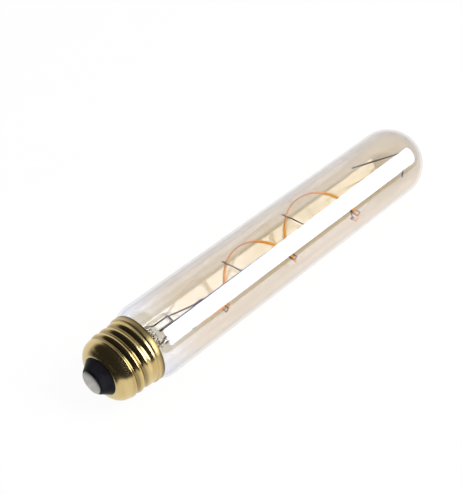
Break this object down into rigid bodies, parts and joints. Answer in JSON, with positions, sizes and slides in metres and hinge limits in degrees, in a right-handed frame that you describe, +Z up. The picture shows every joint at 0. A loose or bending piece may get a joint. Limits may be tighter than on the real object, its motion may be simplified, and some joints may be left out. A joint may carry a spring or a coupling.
{
  "type": "tubular light bulb",
  "caption": "Slim tubular bulb of gold-tinted glass with a round end, a spiral amber filament on a long centre wire, and a brass screw cap.",
  "frame": {"origin": "centre of the end contact's outer face, on the bulb's axis", "axes": "+X along the bulb from the end contact to the round end of the glass, +Z up with the bulb lying as in the picture"},
  "size_m": [0.185, 0.03, 0.03],
  "materials": {
    "tinted_glass": "clear polished glass with a thin gold tint",
    "clear_glass": "clear glass",
    "brass": "bright rolled brass",
    "black_glass": "glossy black glass",
    "contact_metal": "dull grey tinned metal",
    "wire_metal": "dark plated wire",
    "filament_coat": "satin amber silicone",
    "cement": "matt cement",
    "board": "solder-masked board",
    "component_black": "moulded black",
    "capacitor_can": "drawn can",
    "ferrite": "dark ferrite",
    "resistor_body": "lacquered"
  },
  "bodies": {
    "root": {"glass_envelope": "tinted_glass", "stem_flare": "clear_glass", "exhaust_tube": "clear_glass", "centre_rod": "wire_metal", "long_lead_wire": "wire_metal", "short_lead_wire": "wire_metal", "filament": "filament_coat", "filament_start_clip": "wire_metal", "filament_end_clip": "wire_metal", "end_jumper_wire": "wire_metal", "support_wire_1": "wire_metal", "support_wire_2": "wire_metal", "support_wire_3": "wire_metal", "support_wire_4": "wire_metal", "support_wire_5": "wire_metal", "tip_spring": "wire_metal", "cap_shell": "brass", "cap_insulator": "black_glass", "end_contact": "contact_metal", "cap_cement": "cement", "driver_board": "board", "rectifier": "component_black", "driver_chip": "component_black", "capacitor": "capacitor_can", "inductor": "ferrite", "centre_lead": "wire_metal", "fuse_resistor": "resistor_body", "side_lead": "wire_metal"}
  },
  "joints": []
}
